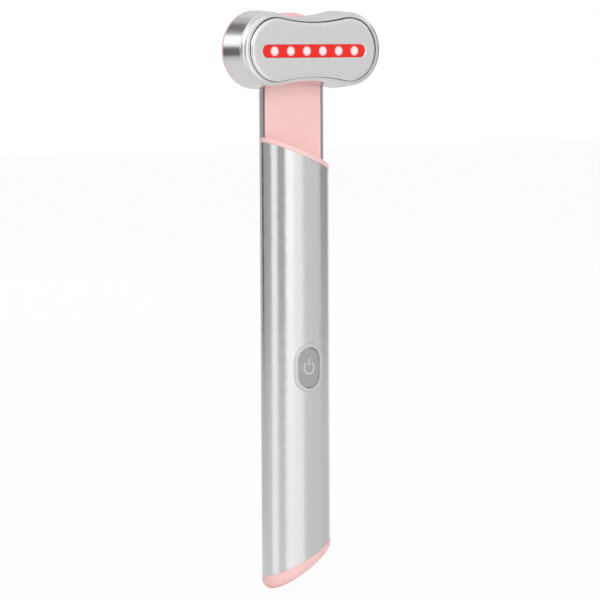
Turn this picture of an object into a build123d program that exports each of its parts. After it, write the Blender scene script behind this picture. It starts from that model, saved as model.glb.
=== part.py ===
from build123d import *

import os
from math import atan2, degrees, radians, sqrt, tan

os.makedirs("parts", exist_ok=True)

# Heated eye massager wand. Millimetres, +Z up along the handle, front towards -Y.
# The origin lies on the handle's axis, half way up the grip.
# "Front" measures are distances forward from the plane of the handle's axis.

# ---------------------------------------------------------------- driving dimensions
# Grip: an oval aluminium tube with both ends cut on a sideways slant
grip_width = 22.7
grip_depth = 14.4
grip_length = 118.0
tube_wall = 1.3
top_slant = 21.8
bottom_slant = 24.2

# Neck: the back of the tube runs on above the slanted cut and carries the head
neck_length = 31.4
neck_set_back = 1.1
neck_end_drop = 0.65
neck_rim = 0.8
panel_proud = 0.5
panel_thickness = 1.5
pocket_side_wall = 2.55
core_plug_depth = 5.0
core_roof = 1.5
plug_wall = 1.8
collar_height = 1.7
collar_round = 0.4
boss_height = 0.9
boss_wall = 1.6

# End cap
cap_height = 4.2
cap_slant = 30.0
cap_round = 2.2
cap_plug_depth = 5.0
cap_plug_wall = 1.2
cap_plug_root = 1.0
cap_floor = 3.0
plug_well_length = 12.6
plug_well_width = 7.0

# Head: a peanut-shaped housing that swivels on the neck
lobe_radius = 11.33
lobe_offset = 13.85
waist_half = 9.65
head_draft = 4.0
head_depth = 10.5
head_wall = 1.3
head_edge_round = 2.0
cover_thickness = 0.9
cover_edge_round = 0.3
cover_lip_height = 1.2
cover_lip_wall = 1.0
ledge_thickness = 1.0
ledge_width = 1.0

# Massage plate and what lies behind it
plate_rim = 2.06
plate_lobe_shift = 0.9
plate_waist_rim = 1.7
plate_thickness = 1.35
plate_edge_round = 0.9
plate_proud = 0.7
seal_thickness = 0.3
window_end_margin = 4.22
window_width = 3.5
window_drop = 0.45
window_recess = 0.15
window_bevel = 0.3
window_flange = 1.1
window_flange_thickness = 0.6
heater_thickness = 0.2
heater_margin = 0.5
heater_tail_width = 3.0
heater_tail_side = 7.5
led_count = 6
led_end_gap = 2.1
led_length = 2.8
led_width = 2.4
led_base = 0.5
led_dome = 1.0
led_height = 0.8
led_board_thickness = 1.0
led_board_width = 8.0
led_board_setback = 0.5
led_post_gap = 1.0
led_post_diameter = 3.2
sensor_length = 2.0
sensor_width = 1.2
sensor_height = 0.8
sensor_side = 9.5
sensor_gap = 1.95
socket_length = 4.4
socket_width = 3.0
socket_height = 1.4

# Swivel
shaft_diameter = 5.0
shaft_bore = 3.0
shaft_flange_thickness = 0.8
hub_height = 1.2
bush_wall = 0.8
bush_flange_thickness = 0.4
washer_thickness = 0.2
washer_crown = 0.25
washer_width = 1.6
ring_thickness = 0.5
ring_depth = 0.4
ring_overhang = 1.0
ring_opening = 3.0
shaft_tail = 0.1
hub_rim = 0.5
flange_screw_count = 3
flange_screw_edge = 0.55

# Vibration motor
motor_diameter = 4.0
motor_length = 8.0
motor_hub_gap = 0.7
motor_drop = 4.2
motor_shaft_diameter = 0.8
motor_shaft_tail = 0.4
weight_radius = 1.8
weight_length = 3.0
sleeve_wall = 0.55
sleeve_length = 6.6
cradle_thickness = 1.0
cradle_wall = 0.8
cradle_inset = 2.0
motor_edge_round = 0.2
motor_bearing = 2.0
weight_gap = 0.5
weight_hub = 0.8

# Power button
button_height = -2.6
button_length = 12.1
button_width = 7.8
bezel_width = 1.15
bezel_round = 0.2
bezel_proud = 0.25
button_recess = 0.1
button_flange = 0.45
button_edge_round = 0.18
button_flange_thickness = 0.6
button_flange_drop = 0.8
button_travel = 0.4
post_diameter = 2.4
icon_radius = 1.75
icon_line = 0.5
icon_depth = 0.6
icon_gap_angle = 70.0
icon_bar_length = 2.0

# Boards and battery inside the grip
board_thickness = 1.0
board_side_gap = 0.75
board_battery_gap = 1.6
board_spacing = 2.6
board_corner = 0.6
chip_side = 3.4
chip_size = 5.0
chip_height = 0.9
chip_chamfer = 0.1
coil_rise = 9.0
coil_size = 4.0
coil_height = 1.8
capacitor_width = 1.2
capacitor_length = 2.0
capacitor_height = 1.2
loom_socket_drop = 2.8
loom_socket_width = 3.4
loom_socket_length = 3.0
loom_socket_height = 1.8
switch_size = 4.5
switch_height = 1.6
plunger_diameter = 2.3
plunger_seat = 0.5
plunger_height = 1.3
battery_wall_gap = 0.8
battery_ring_gap = 1.8
battery_top_gap = 4.0
battery_edge_round = 0.6
pad_width = 6.0
pad_length = 30.0
tab_width = 4.0
tab_thickness = 0.15
tab_leg = 3.0
tab_foot = 2.0
chassis_top_margin = 3.0
chassis_wall = 1.2
chassis_rib = 1.0
charge_board_length = 18.3
charge_board_width = 12.0
charge_board_thickness = 0.8
usb_width = 8.94
usb_height = 3.26
usb_length = 7.35
usb_wall = 0.3
usb_mouth_drop = 1.2
usb_opening_gap = 0.25
usb_insert_floor = 1.2
usb_tongue_width = 6.69
usb_tongue_thickness = 0.7
usb_tongue_recess = 0.8

# Screws
screw_diameter = 1.4
screw_head_diameter = 2.6
screw_head_height = 0.8
screw_head_round = 0.25
screw_cross_width = 0.35
screw_cross_depth = 0.4
screw_boss_diameter = 3.2
chassis_screw_length = 5.0
board_screw_length = 3.2
charge_screw_length = 2.6
flange_screw_length = 2.0
led_screw_length = 1.8
tab_screw_drop = 8.6
tab_head_gap = 0.24
tab_drop = 2.0
tab_root = 2.0
tab_battery_gap = 0.4
tab_half = 1.5
board_screw_edge = 1.9
board_screw_rise = 3.5
board_screw_drop = 9.0
charge_screw_edge = 1.7
charge_screw_drop = 2.4

# Wires
wire_diameter = 0.8
wire_wall_gap = 0.2
wire_bend = 1.0
wire_battery_gap = 0.8
loom_turn = 1.0
loom_slope = 6.0
wire_drop = 1.5
lead_start = 1.0
lead_rise = 0.9
lead_lap = 2.4
motor_lead_diameter = 0.5
motor_lead_bend = 0.4
motor_lead_spacing = 1.2
motor_lead_out = 0.9
ribbon_width = 5.0
ribbon_thickness = 0.2
ribbon_bend = 0.5
ribbon_lap_low = 3.4
ribbon_overrun_low = 0.6
ribbon_overrun_high = 0.8
ribbon_lap_high = 2.5

# Fits
slide_fit = 0.1
joint_gap = 0.3
turning_fit = 0.05
seam = 0.05
button_fit = 0.15
touch = 0.02

# ---------------------------------------------------------------- sizes worked out
half_width = grip_width / 2
half_depth = grip_depth / 2
bore_half_width = half_width - tube_wall
bore_half_depth = half_depth - tube_wall
core_half_width = bore_half_width - slide_fit
core_half_depth = bore_half_depth - slide_fit

tube_top = grip_length / 2
tube_bottom = -grip_length / 2
top_tilt = -tan(radians(top_slant))
bottom_tilt = tan(radians(bottom_slant))
cap_tilt = tan(radians(cap_slant))
swivel_height = tube_top + neck_length
neck_end_height = swivel_height - neck_end_drop
window_height = swivel_height - window_drop
neck_top = neck_end_height + half_width

cut_face = -neck_set_back
panel_front = cut_face + panel_proud
panel_back = panel_front - panel_thickness
collar_top = tube_top + collar_height
core_plug_bottom = tube_top - core_plug_depth
cap_bottom = tube_bottom - cap_height
cap_plug_top = tube_bottom + cap_plug_depth
usb_mouth = tube_bottom - usb_mouth_drop
cap_floor_height = usb_mouth + cap_floor
pocket_half = core_half_width - pocket_side_wall

shaft_radius = shaft_diameter / 2
bush_radius = shaft_radius + turning_fit + bush_wall
boss_radius = bush_radius + boss_wall
washer_outer = shaft_radius + turning_fit + washer_width
washer_bend = washer_outer**2 / (2 * washer_crown)
flange_screw_radius = shaft_radius + screw_head_diameter / 2 + flange_screw_edge
shaft_flange_radius = flange_screw_radius + screw_head_diameter / 2 + flange_screw_edge
hub_radius = shaft_flange_radius + hub_rim

plate_lobe_radius = lobe_radius - plate_rim
plate_lobe_offset = lobe_offset - plate_lobe_shift
plate_waist_half = waist_half - plate_waist_rim
window_length = 2 * (plate_lobe_offset + plate_lobe_radius - window_end_margin)
window_half = window_width / 2 + window_flange
heater_tail_drop = window_half + joint_gap
sensor_drop = window_half + sensor_gap + sensor_width / 2
led_pitch = (window_length - led_end_gap) / led_count
led_post_spacing = window_length + 2 * window_flange + led_post_diameter + led_post_gap

head_rear = panel_front + joint_gap
shell_rear = head_rear + cover_thickness
head_front = head_rear + head_depth
plate_front = head_front + plate_proud
plate_back = plate_front - plate_thickness
seal_back = plate_back - seal_thickness
ledge_back = seal_back - ledge_thickness
heater_back = plate_back - heater_thickness
window_front = plate_front - window_recess
window_back = heater_back - window_flange_thickness
led_front = window_back - led_board_setback
led_board_front = led_front - led_height
led_board_back = led_board_front - led_board_thickness
hub_front = shell_rear + hub_height
flange_front = hub_front + shaft_flange_thickness
boss_back = panel_back - boss_height
bush_back = boss_back - bush_flange_thickness
washer_room = washer_thickness + washer_crown + 2 * turning_fit
ring_front = bush_back - washer_room
ring_back = ring_front - ring_thickness
shaft_back = ring_back - shaft_tail

motor_front = shell_rear + motor_diameter / 2 + sleeve_wall + slide_fit
motor_height = swivel_height - motor_drop
motor_end = hub_radius + motor_hub_gap
motor_far_end = motor_end + motor_length
motor_shaft_length = weight_gap + weight_length + motor_shaft_tail

board_front = board_thickness
switch_front = board_front + switch_height
plunger_front = switch_front + plunger_height
charge_board_front = -usb_height / 2
charge_board_back = charge_board_front - charge_board_thickness
charge_board_low = cap_floor_height + joint_gap
charge_board_high = charge_board_low + charge_board_length
charge_screw_span = charge_board_width - 2 * charge_screw_edge
charge_screw_height = charge_board_high - charge_screw_drop

bezel_length = button_length + 2 * bezel_width
bezel_overall = button_width + 2 * bezel_width
battery_radius = core_half_depth - battery_wall_gap
battery_high = core_plug_bottom - battery_top_gap
battery_low = button_height + bezel_length / 2 + battery_ring_gap
battery_length = battery_high - battery_low
board_half_width = core_half_width - board_side_gap
board_low = charge_board_high + board_spacing
board_high = battery_low - board_battery_gap
board_screw_span = 2 * (board_half_width - board_screw_edge)
board_screw_low = board_low + board_screw_rise
board_screw_high = button_height - board_screw_drop
coil_at = board_low + coil_rise
chip_at = (coil_at + board_screw_high) / 2
loom_socket_at = board_high - loom_socket_drop
tab_span = 2 * (battery_radius + tab_battery_gap + tab_half)
tab_screw_height = core_plug_bottom - tab_screw_drop
head_edge = tab_span / 2 + screw_head_diameter / 2 + tab_head_gap
tab_height = bore_half_depth * sqrt(1 - (head_edge / bore_half_width) ** 2) - screw_head_height
chassis_low = cap_plug_top + bottom_tilt * core_half_width + joint_gap
chassis_high = tab_screw_height + chassis_top_margin
boss_hole_depth = chassis_screw_length - tab_height + touch
charge_hole_depth = charge_screw_length - charge_board_thickness + touch

cap_length = button_length - 2 * button_fit
cap_overall = button_width - 2 * button_fit
flange_length = cap_length + 2 * button_flange
flange_overall = cap_overall + 2 * button_flange
button_flange_front = bore_half_depth - button_flange_drop
button_flange_back = button_flange_front - button_flange_thickness
bezel_seat = button_flange_back - slide_fit

wire_radius = wire_diameter / 2
loom_back = -(bore_half_depth - wire_wall_gap - wire_radius)
loom_start = led_board_back - socket_height - joint_gap
loom_end_front = board_front + loom_socket_height / 2
loom_end = loom_socket_at + loom_socket_length / 2
wire_front = tab_height + screw_head_height + slide_fit + wire_radius
wire_side = sqrt((battery_radius + wire_battery_gap + wire_radius) ** 2 - wire_front**2)
wire_turn = battery_low - joint_gap
ribbon_front = charge_board_front + ribbon_thickness / 2
tab_reach = board_front + tab_thickness + tab_foot
tab_middle = board_front + tab_thickness - tab_reach / 2

reach = grip_width
far = 2 * grip_length


# ---------------------------------------------------------------- shapes used more than once
class Peanut(BaseSketchObject):
    """Two round lobes side by side, joined by a shallow waist."""

    def __init__(self, radius, offset, waist, rotation=0, align=None, mode=Mode.ADD):
        blend = (offset**2 + waist**2 - radius**2) / (2 * (radius - waist))
        centre = waist + blend
        lean = degrees(atan2(centre, offset))
        lobe_turn = 360 - 2 * lean
        waist_turn = 180 - 2 * lean
        with BuildSketch() as outline:
            with BuildLine():
                CenterArc((offset, 0), radius, lean - 180, lobe_turn)
                CenterArc((0, centre), blend, 180 + lean, waist_turn)
                CenterArc((-offset, 0), radius, lean, lobe_turn)
                CenterArc((0, -centre), blend, lean, waist_turn)
            make_face()
        super().__init__(outline.sketch, rotation, align, mode)


class OvalBlock(BasePartObject):
    """A length of the grip's oval section between two planes that tilt from side to side."""

    def __init__(self, wide, deep, low, high, low_tilt=0.0, high_tilt=0.0, mode=Mode.ADD):
        corners = [
            (-reach, low - low_tilt * reach),
            (reach, low + low_tilt * reach),
            (reach, high + high_tilt * reach),
            (-reach, high - high_tilt * reach),
        ]
        floor = min(corners[0][1], corners[1][1])
        ceiling = max(corners[2][1], corners[3][1])
        with BuildPart() as block:
            with BuildSketch(Plane.XY.offset(floor)):
                Ellipse(wide, deep)
            extrude(amount=ceiling - floor)
            with BuildSketch(Plane.XZ):
                Polygon(*corners, align=None)
            extrude(amount=reach, both=True, mode=Mode.INTERSECT)
        super().__init__(part=block.part, mode=mode)


class Screw(BasePartObject):
    """A pan-head screw along +Z with its seat at the origin and its thread below it."""

    def __init__(self, length, mode=Mode.ADD):
        with BuildPart() as screw:
            Cylinder(screw_diameter / 2, length, align=(Align.CENTER, Align.CENTER, Align.MAX))
            with BuildSketch():
                Circle(screw_head_diameter / 2)
            extrude(amount=screw_head_height)
            fillet(screw.faces().sort_by(Axis.Z)[-1].edges(), screw_head_round)
            with BuildSketch(Plane.XY.offset(screw_head_height)):
                Rectangle(screw_diameter, screw_cross_width)
                Rectangle(screw_cross_width, screw_diameter)
            extrude(amount=-screw_cross_depth, mode=Mode.SUBTRACT)
        super().__init__(part=screw.part, mode=mode)


def above(height, tilt):
    """Corners of everything above a sloping line, as seen from the front."""
    return [(-reach, height - tilt * reach), (reach, height + tilt * reach), (reach, far), (-reach, far)]


def front_plane(front, height=0.0, side=0.0):
    """A plane that faces the front, with its origin at the given place."""
    return Plane((side, -front, height), x_dir=(1, 0, 0), z_dir=(0, -1, 0))


def rear_plane(front, height=0.0, side=0.0):
    """A plane that faces the back, with its origin at the given place."""
    return Plane((side, -front, height), x_dir=(-1, 0, 0), z_dir=(0, 1, 0))


def motor_plane(end):
    """A plane across the motor's axis, this far from the head's middle, facing the motor's weight."""
    return Plane((-end, -motor_front, motor_height), x_dir=(0, 1, 0), z_dir=(-1, 0, 0))


class NeckEnd(BaseSketchObject):
    """Everything under the neck's round end, as seen from the front."""

    def __init__(self, radius, mode=Mode.ADD):
        with BuildSketch() as outline:
            with Locations((0, neck_end_height - far / 2)):
                Rectangle(2 * reach, far)
            with Locations((0, neck_end_height)):
                Circle(radius)
        super().__init__(outline.sketch, mode=mode)


class NeckRim(BasePartObject):
    """The rim that closes the round end of the tube, behind the plane of the cut."""

    def __init__(self, mode=Mode.ADD):
        with BuildPart() as rim:
            OvalBlock(half_width, half_depth, neck_end_height, neck_top + neck_rim)
            with BuildSketch(front_plane(cut_face, neck_end_height)):
                Circle(half_width)
                Circle(half_width - neck_rim, mode=Mode.SUBTRACT)
            extrude(amount=-grip_depth, mode=Mode.INTERSECT)
        super().__init__(part=rim.part, mode=mode)


class Trough(BasePartObject):
    """The rear half of an oval shell that fills the bore behind the boards and the battery."""

    def __init__(self, mode=Mode.ADD):
        with BuildPart() as trough:
            OvalBlock(core_half_width, core_half_depth, chassis_low, chassis_high)
            OvalBlock(
                core_half_width - chassis_wall,
                core_half_depth - chassis_wall,
                tube_bottom,
                tube_top,
                mode=Mode.SUBTRACT,
            )
            with BuildSketch(front_plane(0)):
                Rectangle(2 * reach, far)
            extrude(amount=grip_depth, mode=Mode.SUBTRACT)
        super().__init__(part=trough.part, mode=mode)


# ---------------------------------------------------------------- grip and neck
with BuildPart() as handle_tube:
    OvalBlock(half_width, half_depth, tube_bottom, neck_top, low_tilt=bottom_tilt)
    with BuildSketch(front_plane(cut_face)):
        Polygon(*above(tube_top, top_tilt), align=None)
    extrude(amount=grip_depth, mode=Mode.SUBTRACT)
    with BuildSketch(front_plane(0)):
        NeckEnd(half_width - neck_rim)
    extrude(amount=reach, both=True, mode=Mode.INTERSECT)
    OvalBlock(bore_half_width, bore_half_depth, 2 * tube_bottom, 2 * neck_top, mode=Mode.SUBTRACT)
    with BuildSketch(front_plane(0, button_height)):
        SlotOverall(bezel_length, bezel_overall, rotation=90)
    extrude(amount=grip_depth, mode=Mode.SUBTRACT)
handle_tube.part.label = "handle_tube"
export_step(handle_tube.part, "parts/handle_tube.step")

with BuildPart() as neck_core:
    # Collar over the slanted cut, in front of the metal neck
    OvalBlock(half_width, half_depth, tube_top + seam, collar_top, top_tilt, top_tilt)
    fillet(neck_core.faces().sort_by(Axis.Z)[-1].edges(), collar_round)
    with BuildSketch(front_plane(cut_face)):
        Rectangle(2 * reach, far)
    extrude(amount=-grip_depth, mode=Mode.SUBTRACT)
    # Core that fills the bore, from the plug up to the round end
    OvalBlock(core_half_width, core_half_depth, core_plug_bottom, neck_top, low_tilt=top_tilt)
    with BuildSketch(front_plane(panel_front)):
        Polygon(*above(collar_top, top_tilt), align=None)
    extrude(amount=grip_depth, mode=Mode.SUBTRACT)
    # Pocket behind the panel, open to the metal at the back
    with BuildSketch(front_plane(panel_back)):
        with Locations((0, neck_end_height - far / 2)):
            Rectangle(2 * pocket_half, far)
        with Locations((0, neck_end_height)):
            Circle(pocket_half)
    extrude(amount=-grip_depth, mode=Mode.SUBTRACT)
    # Hollow of the plug, under the collar's roof
    OvalBlock(
        core_half_width - plug_wall,
        core_half_depth - plug_wall,
        tube_bottom,
        collar_top - core_roof,
        high_tilt=top_tilt,
        mode=Mode.SUBTRACT,
    )
    with BuildSketch(front_plane(0)):
        NeckEnd(half_width)
    extrude(amount=reach, both=True, mode=Mode.INTERSECT)
    NeckRim()
    # Boss and bore for the swivel's bush
    with BuildSketch(front_plane(panel_back, swivel_height)):
        Circle(boss_radius)
    extrude(amount=-boss_height)
    with BuildSketch(front_plane(panel_front, swivel_height)):
        Circle(bush_radius + seam)
    extrude(amount=-grip_depth, mode=Mode.SUBTRACT)
    # Tabs that the inner chassis is screwed to
    for side in (-1, 1):
        tab_x = side * tab_span / 2
        tab_top = core_plug_bottom + top_tilt * tab_x + tab_root
        tab_low = tab_screw_height - tab_drop
        with BuildSketch(front_plane(0, (tab_low + tab_top) / 2, tab_x)):
            Rectangle(2 * tab_half, tab_top - tab_low)
        extrude(amount=tab_height)
        with BuildSketch(front_plane(0, tab_screw_height, tab_x)):
            Circle(screw_diameter / 2 + turning_fit)
        extrude(amount=grip_depth, mode=Mode.SUBTRACT)
neck_core.part.label = "neck_core"
export_step(neck_core.part, "parts/neck_core.step")

with BuildPart() as end_cap:
    OvalBlock(half_width, half_depth, cap_bottom, tube_bottom - seam, cap_tilt, bottom_tilt)
    fillet(end_cap.faces().sort_by(Axis.Z)[0].edges(), cap_round)
    OvalBlock(
        core_half_width,
        core_half_depth,
        tube_bottom - cap_plug_root,
        cap_plug_top,
        bottom_tilt,
        bottom_tilt,
    )
    OvalBlock(
        core_half_width - cap_plug_wall,
        core_half_depth - cap_plug_wall,
        cap_floor_height,
        tube_top,
        mode=Mode.SUBTRACT,
    )
    # Well for the moulded body of a charging plug, and the opening round the socket
    with BuildSketch(Plane.XY.offset(usb_mouth)):
        SlotOverall(plug_well_length, plug_well_width)
    extrude(amount=-grip_length, mode=Mode.SUBTRACT)
    with BuildSketch(Plane.XY.offset(tube_top)):
        SlotOverall(usb_width + 2 * usb_opening_gap, usb_height + 2 * usb_opening_gap)
    extrude(amount=-far, mode=Mode.SUBTRACT)
end_cap.part.label = "end_cap"
export_step(end_cap.part, "parts/end_cap.step")

with BuildPart() as inner_chassis:
    # Cross ribs between the boards and the battery, and at the upper end
    for rib_low in (board_high + joint_gap, chassis_high - chassis_rib):
        with BuildSketch(Plane.XY.offset(rib_low)):
            Rectangle(grip_width, grip_depth, align=(Align.CENTER, Align.MIN))
        extrude(amount=chassis_rib)
    # Bosses under the tabs and the main board, and the bed of the charge board
    for boss_span, boss_at in (
        (tab_span, tab_screw_height),
        (board_screw_span, board_screw_low),
        (board_screw_span, board_screw_high),
    ):
        with BuildSketch(front_plane(0, boss_at)):
            with GridLocations(boss_span, 1, 2, 1):
                Circle(screw_boss_diameter / 2)
        extrude(amount=-grip_depth)
    with BuildSketch(front_plane(charge_board_back, (chassis_low + charge_board_high) / 2)):
        Rectangle(charge_board_width, charge_board_high - chassis_low)
    extrude(amount=-grip_depth)
    # All of it ends inside the wall of the trough
    OvalBlock(
        core_half_width - chassis_wall / 2,
        core_half_depth - chassis_wall / 2,
        tube_bottom,
        tube_top,
        mode=Mode.INTERSECT,
    )
    Trough()
    # Round bed for the battery
    with BuildSketch(Plane.XY.offset(battery_low - slide_fit)):
        Circle(battery_radius + slide_fit)
    extrude(amount=battery_length, mode=Mode.SUBTRACT)
    # Pilot holes
    for boss_span, boss_at in (
        (tab_span, tab_screw_height),
        (board_screw_span, board_screw_low),
        (board_screw_span, board_screw_high),
    ):
        with BuildSketch(front_plane(0, boss_at)):
            with GridLocations(boss_span, 1, 2, 1):
                Circle(screw_diameter / 2 + touch)
        extrude(amount=-boss_hole_depth, mode=Mode.SUBTRACT)
    with BuildSketch(front_plane(charge_board_back, charge_screw_height)):
        with GridLocations(charge_screw_span, 1, 2, 1):
            Circle(screw_diameter / 2 + touch)
    extrude(amount=-charge_hole_depth, mode=Mode.SUBTRACT)
inner_chassis.part.label = "inner_chassis"
export_step(inner_chassis.part, "parts/inner_chassis.step")

with BuildPart() as chassis_screws:
    for side in (-1, 1):
        with Locations(front_plane(tab_height, tab_screw_height, side * tab_span / 2)):
            Screw(chassis_screw_length)
chassis_screws.part.label = "chassis_screws"
export_step(chassis_screws.part, "parts/chassis_screws.step")

# ---------------------------------------------------------------- power button
with BuildPart() as button_ring:
    with BuildSketch(front_plane(bezel_seat, button_height)):
        SlotOverall(bezel_length - 2 * seam, bezel_overall - 2 * seam, rotation=90)
    extrude(amount=grip_depth)
    OvalBlock(
        half_width + bezel_proud,
        half_depth + bezel_proud,
        tube_bottom,
        tube_top,
        mode=Mode.INTERSECT,
    )
    fillet(button_ring.faces().sort_by(Axis.Y)[0].edges(), bezel_round)
    with BuildSketch(front_plane(0, button_height)):
        SlotOverall(button_length, button_width, rotation=90)
    extrude(amount=grip_depth, mode=Mode.SUBTRACT)
    with BuildSketch(front_plane(0, button_height)):
        SlotOverall(flange_length + 2 * button_fit, flange_overall + 2 * button_fit, rotation=90)
    extrude(amount=button_flange_front + slide_fit, mode=Mode.SUBTRACT)
button_ring.part.label = "button_ring"
export_step(button_ring.part, "parts/button_ring.step")


class PowerSymbol(BaseSketchObject):
    """The generic power symbol: a ring that is open at the top, with an upright bar in the opening."""

    def __init__(self, mode=Mode.ADD):
        high = 2 * icon_radius
        side = high * tan(radians(icon_gap_angle / 2))
        with BuildSketch() as symbol:
            Circle(icon_radius + icon_line / 2)
            Circle(icon_radius - icon_line / 2, mode=Mode.SUBTRACT)
            Polygon((0, 0), (side, high), (-side, high), align=None, mode=Mode.SUBTRACT)
            with Locations((0, icon_radius)):
                Rectangle(icon_line, icon_bar_length)
        super().__init__(symbol.sketch, mode=mode)


with BuildPart() as power_button:
    with BuildSketch(front_plane(0, button_height)):
        SlotOverall(cap_length, cap_overall, rotation=90)
    extrude(amount=grip_depth)
    OvalBlock(
        half_width - button_recess,
        half_depth - button_recess,
        tube_bottom,
        tube_top,
        mode=Mode.INTERSECT,
    )
    fillet(power_button.faces().sort_by(Axis.Y)[0].edges(), button_edge_round)
    with BuildSketch(front_plane(button_flange_back, button_height)):
        Rectangle(reach, reach)
    extrude(amount=-grip_depth, mode=Mode.SUBTRACT)
    with BuildSketch(front_plane(button_flange_back, button_height)):
        SlotOverall(flange_length, flange_overall, rotation=90)
    extrude(amount=button_flange_thickness)
    with BuildSketch(front_plane(button_flange_back, button_height)):
        Circle(post_diameter / 2)
    extrude(amount=plunger_front - button_flange_back)
    with BuildSketch(front_plane(half_depth - button_recess - icon_depth, button_height)):
        PowerSymbol()
    extrude(amount=grip_depth, mode=Mode.SUBTRACT)
power_button.part.label = "power_button"
export_step(power_button.part, "parts/power_button.step")

with BuildPart() as button_icon:
    with BuildSketch(front_plane(half_depth - button_recess - icon_depth, button_height)):
        PowerSymbol()
    extrude(amount=grip_depth)
    OvalBlock(
        half_width - button_recess,
        half_depth - button_recess,
        tube_bottom,
        tube_top,
        mode=Mode.INTERSECT,
    )
button_icon.part.label = "button_icon"
export_step(button_icon.part, "parts/button_icon.step")

with BuildPart() as switch_plunger:
    with BuildSketch(front_plane(switch_front - plunger_seat, button_height)):
        Circle(plunger_diameter / 2)
    extrude(amount=plunger_front - switch_front + plunger_seat)
switch_plunger.part.label = "switch_plunger"
export_step(switch_plunger.part, "parts/switch_plunger.step")

with BuildPart() as tact_switch:
    with BuildSketch(front_plane(board_front, button_height)):
        Rectangle(switch_size, switch_size)
    extrude(amount=switch_height)
    with BuildSketch(front_plane(switch_front, button_height)):
        Circle(plunger_diameter / 2 + turning_fit)
    extrude(amount=-(plunger_seat + button_travel + slide_fit), mode=Mode.SUBTRACT)
tact_switch.part.label = "tact_switch"
export_step(tact_switch.part, "parts/tact_switch.step")

# ---------------------------------------------------------------- boards and battery
with BuildPart() as main_board:
    with BuildSketch(front_plane(0, (board_low + board_high) / 2)):
        RectangleRounded(2 * board_half_width, board_high - board_low, board_corner)
    extrude(amount=board_thickness)
    for side in (-1, 1):
        for hole_at in (board_screw_low, board_screw_high):
            with BuildSketch(front_plane(0, hole_at, side * board_screw_span / 2)):
                Circle(screw_diameter / 2 + turning_fit)
            extrude(amount=grip_depth, mode=Mode.SUBTRACT)
main_board.part.label = "main_board"
export_step(main_board.part, "parts/main_board.step")

with BuildPart() as control_chip:
    with BuildSketch(front_plane(board_front, chip_at, -chip_side)):
        Rectangle(chip_size, chip_size)
    extrude(amount=chip_height)
    chamfer(control_chip.faces().sort_by(Axis.Y)[0].edges(), chip_chamfer)
control_chip.part.label = "control_chip"
export_step(control_chip.part, "parts/control_chip.step")

with BuildPart() as board_parts:
    # Coil of the boost converter
    with BuildSketch(front_plane(board_front, coil_at, chip_side)):
        RectangleRounded(coil_size, coil_size, board_corner)
    extrude(amount=coil_height)
    # Chip capacitors above it and beside it
    for capacitor_at, side in ((chip_at, chip_side), (coil_at, -chip_side)):
        with BuildSketch(front_plane(board_front, capacitor_at, side)):
            Rectangle(capacitor_width, capacitor_length)
        extrude(amount=capacitor_height)
board_parts.part.label = "board_parts"
export_step(board_parts.part, "parts/board_parts.step")

with BuildPart() as loom_socket:
    with BuildSketch(front_plane(board_front, loom_socket_at, -wire_side)):
        Rectangle(loom_socket_width, loom_socket_length)
    extrude(amount=loom_socket_height)
loom_socket.part.label = "loom_socket"
export_step(loom_socket.part, "parts/loom_socket.step")

with BuildPart() as board_screws:
    for side in (-1, 1):
        for hole_at in (board_screw_low, board_screw_high):
            with Locations(front_plane(board_front, hole_at, side * board_screw_span / 2)):
                Screw(board_screw_length)
        with Locations(front_plane(charge_board_front, charge_screw_height, side * charge_screw_span / 2)):
            Screw(charge_screw_length)
board_screws.part.label = "board_screws"
export_step(board_screws.part, "parts/board_screws.step")

with BuildPart() as battery_cell:
    with BuildSketch(Plane.XY.offset(battery_low)):
        Circle(battery_radius)
    extrude(amount=battery_length)
    fillet(battery_cell.edges().filter_by(GeomType.CIRCLE), battery_edge_round)
battery_cell.part.label = "battery_cell"
export_step(battery_cell.part, "parts/battery_cell.step")

with BuildPart() as battery_tabs:
    # Lower tab: from the can's end forward and down on to the main board
    with BuildSketch(front_plane(board_front, battery_low - tab_leg / 2)):
        Rectangle(tab_width, tab_leg)
    extrude(amount=tab_thickness)
    with BuildSketch(Plane.XY.offset(battery_low)):
        with Locations((0, -tab_middle)):
            Rectangle(tab_width, tab_reach)
    extrude(amount=-tab_thickness)
    # Upper tab
    with BuildSketch(Plane.XY.offset(battery_high)):
        with Locations((0, -tab_middle)):
            Rectangle(tab_width, tab_reach)
    extrude(amount=tab_thickness)
battery_tabs.part.label = "battery_tabs"
export_step(battery_tabs.part, "parts/battery_tabs.step")

with BuildPart() as battery_pad:
    with BuildSketch(Plane.XY.offset(battery_low + (battery_length - pad_length) / 2)):
        Ellipse(core_half_width, core_half_depth)
        Circle(battery_radius + touch, mode=Mode.SUBTRACT)
        with Locations((0, -reach / 2)):
            Rectangle(pad_width, reach, mode=Mode.INTERSECT)
    extrude(amount=pad_length)
battery_pad.part.label = "battery_pad"
export_step(battery_pad.part, "parts/battery_pad.step")

with BuildPart() as charge_board:
    with BuildSketch(front_plane(charge_board_back, (charge_board_low + charge_board_high) / 2)):
        RectangleRounded(charge_board_width, charge_board_high - charge_board_low, board_corner)
    extrude(amount=charge_board_thickness)
    for side in (-1, 1):
        with BuildSketch(front_plane(charge_board_back, charge_screw_height, side * charge_screw_span / 2)):
            Circle(screw_diameter / 2 + turning_fit)
        extrude(amount=grip_depth, mode=Mode.SUBTRACT)
charge_board.part.label = "charge_board"
export_step(charge_board.part, "parts/charge_board.step")

with BuildPart() as usb_socket:
    with BuildSketch(Plane.XY.offset(usb_mouth)):
        SlotOverall(usb_width, usb_height)
    extrude(amount=usb_length)
    with BuildSketch(Plane.XY.offset(usb_mouth)):
        SlotOverall(usb_width - 2 * usb_wall, usb_height - 2 * usb_wall)
    extrude(amount=usb_length - usb_wall, mode=Mode.SUBTRACT)
usb_socket.part.label = "usb_socket"
export_step(usb_socket.part, "parts/usb_socket.step")

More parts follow.
